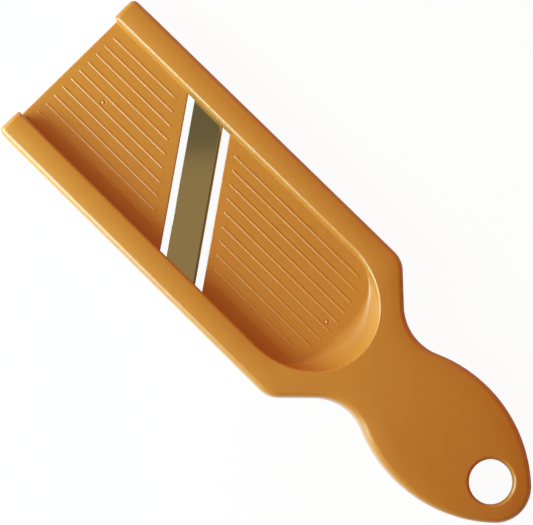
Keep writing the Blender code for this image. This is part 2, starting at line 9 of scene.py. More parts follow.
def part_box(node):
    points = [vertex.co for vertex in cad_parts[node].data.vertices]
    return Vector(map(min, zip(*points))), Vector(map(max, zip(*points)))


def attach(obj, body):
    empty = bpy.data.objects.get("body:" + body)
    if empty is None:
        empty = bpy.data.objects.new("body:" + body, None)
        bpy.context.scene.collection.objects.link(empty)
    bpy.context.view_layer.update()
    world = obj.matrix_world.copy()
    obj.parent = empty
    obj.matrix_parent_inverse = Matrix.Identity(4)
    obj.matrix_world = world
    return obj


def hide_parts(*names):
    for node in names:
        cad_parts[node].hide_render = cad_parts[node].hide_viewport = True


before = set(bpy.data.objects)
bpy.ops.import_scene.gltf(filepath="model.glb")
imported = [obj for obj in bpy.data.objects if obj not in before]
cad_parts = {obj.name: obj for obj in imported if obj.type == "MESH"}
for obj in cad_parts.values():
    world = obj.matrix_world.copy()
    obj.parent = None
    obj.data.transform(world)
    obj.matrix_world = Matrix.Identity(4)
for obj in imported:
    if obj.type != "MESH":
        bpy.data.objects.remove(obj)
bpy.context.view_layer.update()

MM = 0.001
RIGHT = math.pi / 2
SAME_POINT = 1e-6
TINY = 1e-7

# Outline, skirt and hollow of the moulding, as in the CAD, in metres
OPEN_END = -0.119
TIP = 0.119
SIDE = 0.0357
HEIGHT = 0.0144
END_CORNER = 2.4 * MM
RAIL_START = OPEN_END + 4.0 * MM
SHOULDER_X = OPEN_END + 137.5 * MM
SHOULDER_RADIUS = 10.0 * MM
SHOULDER_ANGLE = math.radians(44.0)
NECK_RADIUS = 19.2 * MM
HANDLE_HALF = 24.25 * MM
HANDLE_SIDE_RADIUS = 54.0 * MM
HANDLE_WIDEST = 41.0 * MM
CORNER_STEPS, RAIL_STEPS, SHOULDER_STEPS, NECK_STEPS, SIDE_STEPS, TIP_STEPS = 14, 24, 20, 44, 52, 22
FOOT_ROUND = 0.4 * MM
OUTER_DRAFT = math.tan(math.radians(0.5))
SKIRT_WALL = 2.2 * MM
TOP_WEB = 2.4 * MM
HOLLOW_EDGE = 1.0 * MM
CROSS_RIBS = (0.055, 0.075)
CROSS_RIB = 1.6 * MM
CROSS_RIB_FOOT = 3.6 * MM

# Top: its fall along the handle, and the radius of its rounded edge from the open end to the neck
BEND_X = OPEN_END + 153.0 * MM
HANDLE_DROP = 6.4 * MM
EDGE_PLACES = (OPEN_END, RAIL_START, SHOULDER_X)
EDGE_RADII = (2.4 * MM, 2.2 * MM, 2.2 * MM, 2.6 * MM)

# Crowned top: a round across each rail, and a gentle fall towards the handle's edge
RAIL_MIDDLE = 30.45 * MM
RAIL_HALF = 5.3 * MM
RAIL_CROWN = 24.6 * MM
CROWN_FADE = (0.0, 0.03)
CROWN_TURN = math.radians(8.0)
GRIP_DROP = 0.42 * MM
GRIP_REACH = 7.5 * MM
ACROSS = np.array([0.0, 0.035, 0.07, 0.105, 0.14, 0.175, 0.21, 0.245, 0.28, 0.4, 0.6, 0.8, 1.0])

# Tray and well
PLATE_TOP = 5.0 * MM
PLATE = 2.2 * MM
PLATE_END_RADIUS = 0.4 * MM
PLATE_END_INSET = 0.05 * MM
TRAY_SIDE = 25.1 * MM
TRAY_WALL = 2.3 * MM
TRAY_DEPTH = HEIGHT - PLATE_TOP
TRAY_DRAFT = math.tan(math.radians(1.0))
RIM_RADIUS = 1.2 * MM
RIM_LEVELS = 11
RIM_CLEAR = 0.1 * MM
MOUTH_RADIUS = 1.1 * MM
WELL_X = OPEN_END + 125.6 * MM
WELL_FLOOR_REACH = 17.8 * MM
WELL_RIM_REACH = 29.5 * MM
WELL_RIM_RADIUS = 0.25 * MM
WELL_BOWL = 0.65
WELL_SQUARE = 3.0
WELL_STEPS = 73
SCOOP_TURN = 1.38
SCOOP_LEVELS = 26

# Hanging hole and its collar
HOLE_X = TIP - 15.9 * MM
HOLE_RADIUS = 8.3 * MM
HOLE_RIM = 1.5 * MM
HOLE_DEPTH = 4.5 * MM
HOLE_AROUND = 96
COLLAR_WALL = 2.2 * MM

# Blade and its window
SKEW = math.radians(34.9)
BLADE_X = OPEN_END + 67.8 * MM
BLADE_WIDTH = 12.4 * MM
BLADE_TOP = 6.0 * MM
BLADE_END = 32.9 * MM
BLADE_THICKNESS = 0.6 * MM
BLADE_BEVEL = 1.3 * MM
BEVEL_END = math.radians(13.0)
FINE_BEVEL = 0.3 * MM
BLADE_EDGE = 0.12 * MM
BLADE_EASE = 0.08 * MM
SLOT = 3.0 * MM
SLOT_EDGE = 0.35 * MM
WINDOW_SIDE = 25.0 * MM
WINDOW_DRAFT = 0.35 * MM
GAP = 0.3 * MM

# Seats, pegs and screws that hold the blade's ends
CHANNEL_MIDDLE = 30.491 * MM
SEAT_LENGTH = 33.0 * MM
PEG_RADIUS = 1.0 * MM
PEG_REACH = 1.4 * MM
PILOT_RADIUS = 1.4 * MM
PILOT_TOP = 10.6 * MM
ROD_AROUND = 40
SCREW_OFFSET = 12.6 * MM
SCREW_RADIUS = 1.1 * MM
SCREW_CORE = 0.82 * MM
SCREW_LENGTH = 8.0 * MM
SCREW_POINT = 1.65 * MM
SCREW_HEAD_RADIUS = 2.1 * MM
SCREW_HEAD_HEIGHT = 1.5 * MM
SCREW_HEAD_CROWN = 0.5 * MM
SCREW_AROUND = 40
THREAD_PITCH = 1.0 * MM
THREAD_HALF = 0.3
THREAD_START = 0.5
THREAD_LEVELS = 150

# Cross recess in millimetres: half width and half length of its arms, and height over the head's face
CROSS_LEVELS = ((0.34, 1.25, -0.3), (0.3, 1.15, 0.0), (0.2, 0.45, 0.95))

# Fine ribs on the plates
RIBS = 10
RIB_PITCH = 4.489 * MM
RIB_SHIFT = 0.36 * MM
RIB_WIDTH = 1.1 * MM
RIB_ROUND = 0.92 * MM
RIB_SINK = 0.4 * MM
RIB_START = OPEN_END + 3.3 * MM
RIB_ENTRY_GAP = 4.1 * MM
RIB_EXIT_GAP = 3.2 * MM
RIB_WELL_GAP = 2.2 * MM
RIB_WELL_RADIUS = 34.8 * MM

# Gate marks on the plates: a ring groove, and a blunt cone given by radius and rise in millimetres.
# The cone has fewer sides than the groove, because sides that coincide leave gaps in the carved mesh.
GATE_MARKS = (-0.1004, 0.0186)
GATE_AROUND = 32
GATE_RADIUS = 0.9 * MM
GATE_HALF = 0.35 * MM
GATE_DEPTH = 0.16 * MM
GATE_PIP = ((0.64, -0.4), (0.64, -0.02), (0.4, 0.13), (0.14, 0.29), (0.05, 0.32))
GATE_PIP_AROUND = 30

# How far a cutting shape reaches past what it cuts
OVERCUT = 1.5 * MM
FINE_OVERCUT = 0.5 * MM

# Patterns in waves per metre: a ripple of 11 mm, a grain of 0.4 mm, and grinding streaks 0.2 mm wide
# and 17 mm long, which are drawn coarser than the grit's own so that they show
RIPPLE_WAVES = 90.0
GRAIN_WAVES = 2600.0
STREAK_WAVES = (5200.0, 60.0, 60.0)

# Camera: where it stands, what it looks at, and how far it is rolled
CAMERA_PLACE = Vector((0.028006, -0.049209, 0.585686))
CAMERA_AIM = Vector((-0.013177, -0.000028, 0.005))
CAMERA_ROLL = 0.779565
CAMERA_LENS = 104.87
SENSOR = 36.0

# Where the soft lights point, and how far off they stand
LAMP_AIM = Vector((-0.04, 0.0, 0.0))
LAMP_REACH = 0.46

# Painted shade on the floor, seen only by mirrors: its reach and border, and where along X it narrows
# beside and under the slicer
SHADE_REACH = 0.02
SHADE_EDGE = 0.006
SHADE_NARROWS = (0.016, 0.034)
SHADE_UNDER = (-0.005, 0.015)
FLOOR_REACH = 3.0

# How much of the floor is its own even white; the rest is paper that shows the slicer's shadow
FLOOR_GLOW = 0.95

# Linear light of the room that the slicer mirrors, and the two directions along which it changes
CEILING = (0.43, 0.315, 0.135, 1.0)
CEILING_BEHIND = (0.222, 0.176, 0.09, 1.0)
CEILING_DUSK = (0.12, 0.1, 0.05, 1.0)
WALLS = (0.68, 0.2, 0.04, 1.0)
WALLS_BEHIND = (0.95, 0.56, 0.3, 1.0)
WALLS_BEYOND = (0.22, 0.12, 0.045, 1.0)
WALLS_FOOT = (0.05, 0.035, 0.02, 1.0)
WHITE = (1.0, 1.0, 1.0, 1.0)
BEHIND = (-0.699, 0.707, 0.109)
PAST_BLADE = (math.cos(SKEW), math.sin(SKEW), 0.0)


def arc(centre, radius, start, end, steps, side=1.0):
    """Points at equal angles on a circle, with unit directions away from the plastic's middle."""
    angles = np.linspace(start, end, steps + 1)
    out = np.stack([np.cos(angles), np.sin(angles)], axis=1)
    return np.asarray(centre) + radius * out, side * out


def bearing(origin, target):
    """The angle of the line from one point to another."""
    return math.atan2(target[1] - origin[1], target[0] - origin[0])


def outline_centres():
    """Centres of the shoulder, neck, side and tip arcs, tangent to one another, and the tip's radius."""
    shoulder = np.array([SHOULDER_X, SIDE - SHOULDER_RADIUS])
    side = np.array([TIP - HANDLE_WIDEST, HANDLE_HALF - HANDLE_SIDE_RADIUS])
    spare = HANDLE_SIDE_RADIUS - HANDLE_WIDEST
    tip_radius = (HANDLE_SIDE_RADIUS**2 - HANDLE_WIDEST**2 - side[1] ** 2) / (2 * spare)
    out = np.array([math.sin(SHOULDER_ANGLE), math.cos(SHOULDER_ANGLE)])
    along = np.array([out[1], -out[0]])
    foot = shoulder + (SHOULDER_RADIUS + NECK_RADIUS) * out
    back = foot - side
    half = back @ along
    reach = HANDLE_SIDE_RADIUS + NECK_RADIUS
    neck = foot - (half + math.sqrt(half**2 - back @ back + reach**2)) * along
    return shoulder, neck, side, np.array([TIP - tip_radius, 0.0]), tip_radius


def half_outline(inset=0.0):
    """The outline at +Y from the open end's middle to the tip, drawn in by inset.

    It is a straight end, a corner, the straight rail and four tangent arcs. It comes as points and their
    unit directions away from the plastic's middle.
    """
    shoulder, neck, side, tip, tip_radius = outline_centres()
    round_end = max(END_CORNER - inset, GAP)
    corner = (OPEN_END + inset + round_end, SIDE - inset - round_end)
    end_y = corner[1] * (1 - ACROSS[:0:-1])
    end = np.column_stack([np.full(len(end_y), OPEN_END + inset), end_y])
    rail_x = np.linspace(RAIL_START, shoulder[0], RAIL_STEPS)[:-1]
    rail = np.column_stack([rail_x, np.full(len(rail_x), SIDE - inset)])
    neck_start, neck_end = 3 * RIGHT - SHOULDER_ANGLE, bearing(neck, side) + 4 * RIGHT
    side_start, side_end = bearing(side, neck), bearing(side, tip)
    runs = (
        (end, np.tile([-1.0, 0.0], (len(end), 1))),
        arc(corner, round_end, 2 * RIGHT, RIGHT, CORNER_STEPS),
        (rail, np.tile([0.0, 1.0], (len(rail), 1))),
        arc(shoulder, SHOULDER_RADIUS - inset, RIGHT, RIGHT - SHOULDER_ANGLE, SHOULDER_STEPS),
        arc(neck, NECK_RADIUS + inset, neck_start, neck_end, NECK_STEPS, -1.0),
        arc(side, HANDLE_SIDE_RADIUS - inset, side_start, side_end, SIDE_STEPS),
        arc(tip, tip_radius - inset, side_end, 0.0, TIP_STEPS),
    )
    points = np.vstack([run[0] for run in runs])
    out = np.vstack([run[1] for run in runs])
    fresh = np.append(True, np.linalg.norm(np.diff(points, axis=0), axis=1) > TINY)
    points[-1, 1] = 0.0
    return points[fresh], out[fresh]


def top_height(x):
    """Level over the tray, then a parabola down to the handle's tip."""
    along = np.clip((np.asarray(x) - BEND_X) / (TIP - BEND_X), 0.0, None)
    return HEIGHT - HANDLE_DROP * along**2


def smooth(share):
    """Three squares less two cubes: level at 0 and at 1."""
    share = np.clip(share, 0.0, 1.0)
    return share * share * (3 - 2 * share)


def top_surface(x, y, depth):
    """The top less its crowns: a parabola across each rail, and on the grip a square law in depth."""
    off = np.minimum(np.abs(np.abs(y) - RAIL_MIDDLE), RAIL_HALF)
    grip = GRIP_DROP * np.clip(1 - depth / GRIP_REACH, 0.0, None) ** 2
    share = smooth((x - CROWN_FADE[0]) / (CROWN_FADE[1] - CROWN_FADE[0]))
    return top_height(x) - (1 - share) * off**2 / (2 * RAIL_CROWN) - share * grip


def edge_radius(x):
    """Radius of the rounded top edge, straight between its places along the outline."""
    return np.interp(x, (*EDGE_PLACES, outline_centres()[1][0]), EDGE_RADII)


def fresh_mesh(name, points, faces):
    """A mesh from arrays of points and faces, doubles merged and normals turned outwards."""
    mesh = bpy.data.meshes.new(name)
    mesh.from_pydata(points.tolist(), [], faces)
    shape = bmesh.new()
    shape.from_mesh(mesh)
    bmesh.ops.remove_doubles(shape, verts=shape.verts, dist=SAME_POINT)
    bmesh.ops.dissolve_degenerate(shape, edges=shape.edges, dist=TINY)
    bmesh.ops.recalc_face_normals(shape, faces=shape.faces)
    shape.to_mesh(mesh)
    shape.free()
    return mesh


def wall_faces(levels, around):
    """Quads between each level and the next of a stack of closed rings."""
    start = np.arange(levels - 1)[:, None] * around
    i = np.arange(around)[None, :]
    j = (i + 1) % around
    quads = np.stack([start + i, start + j, start + around + j, start + around + i], -1)
    return quads.reshape(-1, 4).tolist()


def ring(points, heights):
    """Plan points lifted to one height, or to a height each."""
    return np.column_stack([points, np.broadcast_to(heights, len(points))])


def mirrored_loft(name, halves, lead, top=None):
    """A closed solid through level rings given by their +Y halves, which start and end on the axis.

    The first lead points lie on the open end's edge. The caps are strips across Y, so that a top that
    curves along X stays exact, and top can give a finer grid, rows from the open end to the tip, in place
    of the upper cap.
    """
    count = len(halves[0])
    around = 2 * count - 2
    points = np.vstack([np.vstack([half, half[-2:0:-1] * (1, -1, 1)]) for half in halves])
    faces = wall_faces(len(halves), around)
    i = np.arange(lead + 1, count - 2)
    strips = np.stack([i, i + 1, around - 1 - i, around - i], -1)
    first = [*range(lead + 2), *range(around - lead - 1, around)]
    for start in (0,) if top is not None else (0, (len(halves) - 1) * around):
        faces += (strips + start).tolist()
        faces.append([start + k for k in first])
        faces.append([start + count - 2, start + count - 1, start + count])
    if top is not None:
        rows, across = top.shape[:2]
        place = np.arange(rows * across).reshape(rows, across) + len(points)
        cells = np.stack([place[:-1, :-1], place[1:, :-1], place[1:, 1:], place[:-1, 1:]], -1)
        faces += cells.reshape(-1, 4).tolist()
        points = np.vstack([points, top.reshape(-1, 3)])
    return fresh_mesh(name, points, faces)


def turned_loft(name, rings):
    """A closed solid through full rings of equal count, capped at both ends."""
    around = len(rings[0])
    faces = wall_faces(len(rings), around)
    faces.append(list(range(around)))
    faces.append(list(range((len(rings) - 1) * around, len(rings) * around)))
    return fresh_mesh(name, np.vstack(rings), faces)


def circle(x, y, radius, height, count):
    """A level ring of points round an upright axis."""
    angles = np.arange(count) / count * 4 * RIGHT
    plan = np.column_stack([x + radius * np.cos(angles), y + radius * np.sin(angles)])
    return ring(plan, height)


def rod(name, x, y, radius, low, high):
    """An upright cylinder between two heights."""
    return turned_loft(name, [circle(x, y, radius, height, ROD_AROUND) for height in (low, high)])


def block(name, low, high, lean=0.0):
    """A box between two corners whose points slide along X by lean times their own Y."""
    x = np.array([low[0], high[0], high[0], low[0]])
    y = np.array([low[1], low[1], high[1], high[1]])
    plan = np.column_stack([x - lean * y, y])
    return turned_loft(name, [ring(plan, low[2]), ring(plan, high[2])])


def crown_grid(edge):
    """The crowned top as rows across the slicer, one for each point of its inner edge."""
    side = edge[len(ACROSS) - 1 :]
    spread = np.concatenate([1 - ACROSS, ACROSS[-2::-1] - 1])
    x = np.broadcast_to(side[:, :1], (len(side), len(spread)))
    y = side[:, 1:2] * spread
    near = side[side[:, 0] > CROWN_FADE[0]]
    apart = np.hypot(x[..., None] - near[:, 0], np.abs(y)[..., None] - near[:, 1])
    return np.stack([x, y, top_surface(x, y, apart.min(-1))], -1)


def moulding_envelope():
    """The outline carried up a profile: rounded foot, drafted skirt and a quarter-round top edge."""
    points, out = half_outline()
    radii = edge_radius(points[:, 0])
    last = 1 - math.cos(RIGHT - CROWN_TURN)
    inner = points - out * (radii * last)[:, None]
    tops = top_surface(inner[:, 0], inner[:, 1], 0.0)
    flare = (tops - radii) * OUTER_DRAFT
    halves = []
    for turn in np.linspace(0.0, RIGHT, 7):
        away = flare - FOOT_ROUND * (1 - math.sin(turn))
        halves.append(ring(points + out * away[:, None], FOOT_ROUND * (1 - math.cos(turn))))
    for turn in np.linspace(0.0, RIGHT - CROWN_TURN, 11):
        drawn_in = radii * (1 - math.cos(turn))
        heights = tops - radii * (math.cos(CROWN_TURN) - math.sin(turn))
        halves.append(ring(points - out * drawn_in[:, None], heights))
    return mirrored_loft("moulding_envelope", halves, len(ACROSS) - 1, crown_grid(halves[-1]))


def hollow_envelope():
    """The outline drawn in by the skirt's wall, up to the underside of the top web, open below."""
    points, out = half_outline(SKIRT_WALL)
    tops = top_height(points[:, 0]) - TOP_WEB
    halves = [ring(points + out * (tops * OUTER_DRAFT)[:, None], -OVERCUT)]
    for turn in np.linspace(0.0, RIGHT, 6):
        points, out = half_outline(SKIRT_WALL + HOLLOW_EDGE * (1 - math.cos(turn)))
        tops = top_height(points[:, 0]) - TOP_WEB
        halves.append(ring(points, tops - HOLLOW_EDGE * (1 - math.sin(turn))))
    return mirrored_loft("hollow_envelope", halves, len(ACROSS) - 1)


def tray_half_width(height):
    """Half the tray's width above the plates: a drafted wall and a rim fillet."""
    width = TRAY_SIDE + height * TRAY_DRAFT
    above = height - (TRAY_DEPTH - RIM_RADIUS)
    if above > 0:
        width += RIM_RADIUS - math.sqrt(max(RIM_RADIUS**2 - above**2, 0.0))
    return width


def well_reach(height):
    """The well's reach along X and its squareness at a height above the plates.

    The reach lies between a straight slope and a quarter ellipse, WELL_BOWL of the way to the ellipse,
    and grows by a small fillet at the rim. The squareness falls by one from the floor to the rim.
    """
    rise = min(height / TRAY_DEPTH, 1.0)
    swing = math.sqrt(1 - (1 - rise) ** 2)
    share = WELL_BOWL * swing + (1 - WELL_BOWL) * rise
    reach = WELL_FLOOR_REACH + (WELL_RIM_REACH - WELL_FLOOR_REACH) * share
    above = (height - (TRAY_DEPTH - RIM_RADIUS)) / RIM_RADIUS
    if above > 0:
        reach += WELL_RIM_RADIUS * (1 - math.sqrt(max(1 - above**2, 0.0)))
    return reach, WELL_SQUARE - swing


def tray_half(height, grown=0.0):
    """One level of the tray at +Y: flared mouth, straight wall and a superellipse round the well."""
    width = tray_half_width(height) + grown
    reach, power = well_reach(height)
    mouth = (OPEN_END + MOUTH_RADIUS, width + MOUTH_RADIUS)
    flare = arc(mouth, MOUTH_RADIUS, 2 * RIGHT, 3 * RIGHT, 10)[0]
    start = np.array([[OPEN_END - OVERCUT, 0.0], [OPEN_END - OVERCUT, width + MOUTH_RADIUS]])
    wall_x = np.linspace(RAIL_START, WELL_X, RAIL_STEPS)[:-1]
    wall = np.column_stack([wall_x, np.full(len(wall_x), width)])
    turn = np.linspace(RIGHT, 0.0, WELL_STEPS)
    x = WELL_X + (reach + grown) * np.cos(turn) ** (2 / power)
    y = width * np.sin(turn) ** (2 / power)
    x[0], y[-1] = WELL_X, 0.0
    return np.vstack([start, flare, wall, np.column_stack([x, y])])


def tray_levels():
    """Heights above the plates, close together on the low scoop and the rim fillet."""
    wall = TRAY_DEPTH * (1 - np.cos(np.linspace(0.0, SCOOP_TURN, SCOOP_LEVELS)))
    wall = wall[wall < TRAY_DEPTH - RIM_RADIUS - RIM_CLEAR]
    turn = np.linspace(0.0, RIGHT - CROWN_TURN, RIM_LEVELS)
    return np.concatenate([wall, TRAY_DEPTH - RIM_RADIUS * (1 - np.sin(turn))])


def tray_space():
    """Level rings of the tray, from the plates up to the crowned rim, and on through the top."""
    levels = tray_levels()
    halves = []
    for height in levels:
        plan = tray_half(height)
        surface = top_surface(plan[:, 0], plan[:, 1], GRIP_REACH)
        halves.append(ring(plan, PLATE_TOP + height * (surface - PLATE_TOP) / levels[-1]))
    halves.append(ring(tray_half(levels[-1]), HEIGHT + OVERCUT))
    return mirrored_loft("tray_space", halves, 1)


def tray_shell():
    """The tray's rings below the rim, grown by its wall and lowered by the plate."""
    levels = tray_levels()[: 1 - RIM_LEVELS]
    low = PLATE_TOP - PLATE
    halves = [ring(tray_half(height, TRAY_WALL), low + height) for height in levels]
    halves.append(ring(tray_half(levels[-1], TRAY_WALL), HEIGHT + OVERCUT))
    return mirrored_loft("tray_shell", halves, 1)


def hanging_hole():
    """An upright bore whose quarter-round rim follows the sloping top."""
    turns = np.linspace(0.0, RIGHT, 11)
    rim = HOLE_RADIUS + HOLE_RIM * (1 - np.cos(turns))
    radii = [HOLE_RADIUS, *rim, HOLE_RADIUS + HOLE_RIM]
    drops = [-HEIGHT - OVERCUT, *(HOLE_RIM * (np.sin(turns) - 1)), OVERCUT]
    rings = []
    for radius, drop in zip(radii, drops):
        plan = circle(HOLE_X, 0.0, radius, 0.0, HOLE_AROUND)[:, :2]
        rings.append(ring(plan, top_height(plan[:, 0]) + drop))
    return turned_loft("hanging_hole", rings)


def plate_end():
    """What lies outside a quarter round along the plate's end edge."""
    turns = np.linspace(2 * RIGHT, RIGHT, 9)
    x = OPEN_END + PLATE_END_RADIUS * (1 + np.cos(turns))
    z = PLATE_TOP - PLATE_END_RADIUS * (1 - np.sin(turns))
    far = OPEN_END - OVERCUT
    x = np.concatenate([[far], x, [x[-1], far]])
    z = np.concatenate([[z[0]], z, [PLATE_TOP + 0.5 * OVERCUT] * 2])
    side = TRAY_SIDE - PLATE_END_INSET
    sections = [np.column_stack([x, np.full(len(x), y), z]) for y in (-side, side)]
    return turned_loft("plate_end", sections)


def window():
    """The blade's window: drafted ends below the plates, and a quarter round along its top edges."""
    levels = [(-OVERCUT, 0.0, WINDOW_DRAFT), (PLATE_TOP - PLATE, 0.0, WINDOW_DRAFT)]
    for turn in np.linspace(0.0, RIGHT, 6):
        low = SLOT_EDGE * (1 - math.sin(turn))
        grown = SLOT_EDGE * (1 - math.cos(turn))
        levels.append((PLATE_TOP - low, grown, WINDOW_DRAFT * low / PLATE))
    levels.append((PLATE_TOP + GAP, SLOT_EDGE, 0.0))
    rings = []
    for height, grown, out in levels:
        half = (BLADE_WIDTH / 2 + SLOT + grown) / math.cos(SKEW)
        y = (WINDOW_SIDE + out) * np.array([-1.0, -1.0, 1.0, 1.0])
        x = BLADE_X + half * np.array([-1.0, 1.0, 1.0, -1.0]) - math.tan(SKEW) * y
        rings.append(ring(np.column_stack([x, y]), height))
    return turned_loft("window", rings)


def blade_passage():
    """A strip on the blade's skew, a gap wider and longer than the blade, from below to a gap over it."""
    half = (BLADE_WIDTH + 2 * GAP) / 2 / math.cos(SKEW)
    end = BLADE_END + GAP
    low, high = (BLADE_X - half, -end, -OVERCUT), (BLADE_X + half, end, BLADE_TOP + GAP)
    return block("passage", low, high, math.tan(SKEW))


def plate_ribs():
    """Low ribs along the plates, an arc of RIB_ROUND across.

    Each ends in a round: over the last half width its width and height fall off on a quarter circle.
    The ribs end a gap from the window, and by the well on a wide arc.
    """
    cos_skew = math.cos(SKEW)
    y = ((RIBS - 1) / 2 - np.arange(RIBS)) * RIB_PITCH + RIB_SHIFT
    middle = BLADE_X - math.tan(SKEW) * y
    window_half = BLADE_WIDTH / 2 + SLOT
    entry_end = middle - (window_half + RIB_ENTRY_GAP) / cos_skew
    exit_start = middle + (window_half + RIB_EXIT_GAP) / cos_skew
    bow = RIB_WELL_RADIUS - np.sqrt(RIB_WELL_RADIUS**2 - y**2)
    exit_end = WELL_X + WELL_FLOOR_REACH - RIB_WELL_GAP - bow
    starts = np.concatenate([np.full(RIBS, RIB_START), exit_start])
    ends = np.concatenate([entry_end, exit_end])
    sides = np.concatenate([y, y])
    turn = np.linspace(0.08, RIGHT, 7)
    size = np.concatenate([np.sin(turn), np.sin(turn[::-1])])
    inward = RIB_WIDTH / 2 * (1 - np.cos(turn))
    along = np.stack([starts[:, None] + inward, (ends[:, None] - inward)[:, ::-1]], 1)
    along = along.reshape(len(starts), -1)
    reach = math.asin(RIB_WIDTH / 2 / RIB_ROUND)
    lean = np.linspace(reach, -reach, 13)
    across = np.concatenate([[RIB_WIDTH / 2], RIB_ROUND * np.sin(lean), [-RIB_WIDTH / 2]])
    rise = np.concatenate([[0.0], RIB_ROUND * (np.cos(lean) - math.cos(reach)), [0.0]])
    sink = np.concatenate([[RIB_SINK], np.zeros(len(lean)), [RIB_SINK]])
    points = np.stack(np.broadcast_arrays(
        along[:, :, None],
        sides[:, None, None] + size[None, :, None] * across,
        PLATE_TOP - sink + size[None, :, None] * rise,
    ), -1)
    count, stations, around, _ = points.shape
    body = np.array(wall_faces(stations, around))
    ends_of = np.array([np.arange(around), np.arange(around) + (stations - 1) * around])
    first = (np.arange(count) * stations * around)[:, None, None]
    faces = (body + first).reshape(-1, 4).tolist() + (ends_of + first).reshape(-1, around).tolist()
    return fresh_mesh("plate_ribs", points.reshape(-1, 3), faces)


def gate_groove(name, x):
    """A shallow ring groove: a half-round profile turned round the gate's upright axis."""
    turn = np.linspace(0.0, 2 * RIGHT, 13)
    inner, outer = GATE_RADIUS - GATE_HALF, GATE_RADIUS + GATE_HALF
    radii = [inner, *(GATE_RADIUS - GATE_HALF * np.cos(turn)), outer]
    rises = [FINE_OVERCUT, *(-GATE_DEPTH * np.sin(turn)), FINE_OVERCUT]
    rings = [circle(x, 0.0, r, PLATE_TOP + z, GATE_AROUND) for r, z in zip(radii, rises)]
    faces = wall_faces(len(rings), GATE_AROUND)
    last = (len(rings) - 1) * GATE_AROUND
    i = np.arange(GATE_AROUND)
    j = (i + 1) % GATE_AROUND
    faces += np.stack([i, j, last + j, last + i], -1).tolist()
    return fresh_mesh(name, np.vstack(rings), faces)


def gate_pip(name, x):
    """A low cone with a blunt top, where the gate was cut off."""
    levels = [(radius * MM, PLATE_TOP + rise * MM) for radius, rise in GATE_PIP]
    return turned_loft(name, [circle(x, 0.0, r, z, GATE_PIP_AROUND) for r, z in levels])


def temporary(mesh):
    """An object that stands in the scene only while it is carved."""
    made = bpy.data.objects.new(mesh.name, mesh)
    bpy.context.scene.collection.objects.link(made)
    return made


def carved(mesh, cuts=(), joins=()):
    """The mesh less every cut and plus every join, in that order."""
    base = temporary(mesh)
    tools = []
    for operation, meshes in (("DIFFERENCE", cuts), ("UNION", joins)):
        for tool_mesh in meshes:
            tool = temporary(tool_mesh)
            tools.append(tool)
            modifier = base.modifiers.new(tool.name, "BOOLEAN")
            modifier.operation = operation
            modifier.object = tool
            modifier.solver = "EXACT"
    graph = bpy.context.evaluated_depsgraph_get()
    result = bpy.data.meshes.new_from_object(base.evaluated_get(graph))
    for made in (base, *tools):
        bpy.data.objects.remove(made, do_unlink=True)
    return result


def fixing_places():
    """X of each peg and of its two screws, and their Y, left rail first."""
    places = []
    for side in (1, -1):
        x = BLADE_X - side * math.tan(SKEW) * CHANNEL_MIDDLE
        places.append((x, x - side * SCREW_OFFSET, x + side * SCREW_OFFSET, side * CHANNEL_MIDDLE))
    return places


def hollow_space():
    """The hollow underneath, less the tray, the blade's seats, the hole's collar and the cross ribs."""
    standing = [tray_shell()]
    for i, (x, _, _, y) in enumerate(fixing_places()):
        near, far = sorted((math.copysign(TRAY_SIDE + TRAY_WALL / 2, y), math.copysign(SIDE, y)))
        low, high = (x - SEAT_LENGTH / 2, near, BLADE_TOP), (x + SEAT_LENGTH / 2, far, HEIGHT + OVERCUT)
        standing.append(block("seat_%d" % i, low, high))
    foot = float(top_height(HOLE_X)) - HOLE_DEPTH
    standing.append(rod("collar", HOLE_X, 0.0, HOLE_RADIUS + COLLAR_WALL, foot, HEIGHT + OVERCUT))
    for i, x in enumerate(CROSS_RIBS):
        near, far = x - CROSS_RIB / 2, x + CROSS_RIB / 2
        low, high = (near, -SIDE, CROSS_RIB_FOOT), (far, SIDE, HEIGHT + OVERCUT)
        standing.append(block("cross_rib_%d" % i, low, high))
    return carved(hollow_envelope(), cuts=standing)


def frame_mesh():
    """The one-piece moulding, smooth enough for its highlights."""
    cuts = [tray_space(), hollow_space(), window(), blade_passage(), hanging_hole(), plate_end()]
    joins = [plate_ribs()]
    low, high = BLADE_TOP - PEG_REACH, BLADE_TOP + PEG_REACH
    for i, (peg_x, first_x, second_x, y) in enumerate(fixing_places()):
        for j, x in enumerate((first_x, second_x)):
            cuts.append(rod("pilot_%d_%d" % (i, j), x, y, PILOT_RADIUS, -OVERCUT, PILOT_TOP))
        joins.append(rod("peg_%d" % i, peg_x, y, PEG_RADIUS, low, high))
    for i, x in enumerate(GATE_MARKS):
        cuts.append(gate_groove("gate_groove_%d" % i, x))
        joins.append(gate_pip("gate_pip_%d" % i, x))
    return carved(moulding_envelope(), cuts, joins)


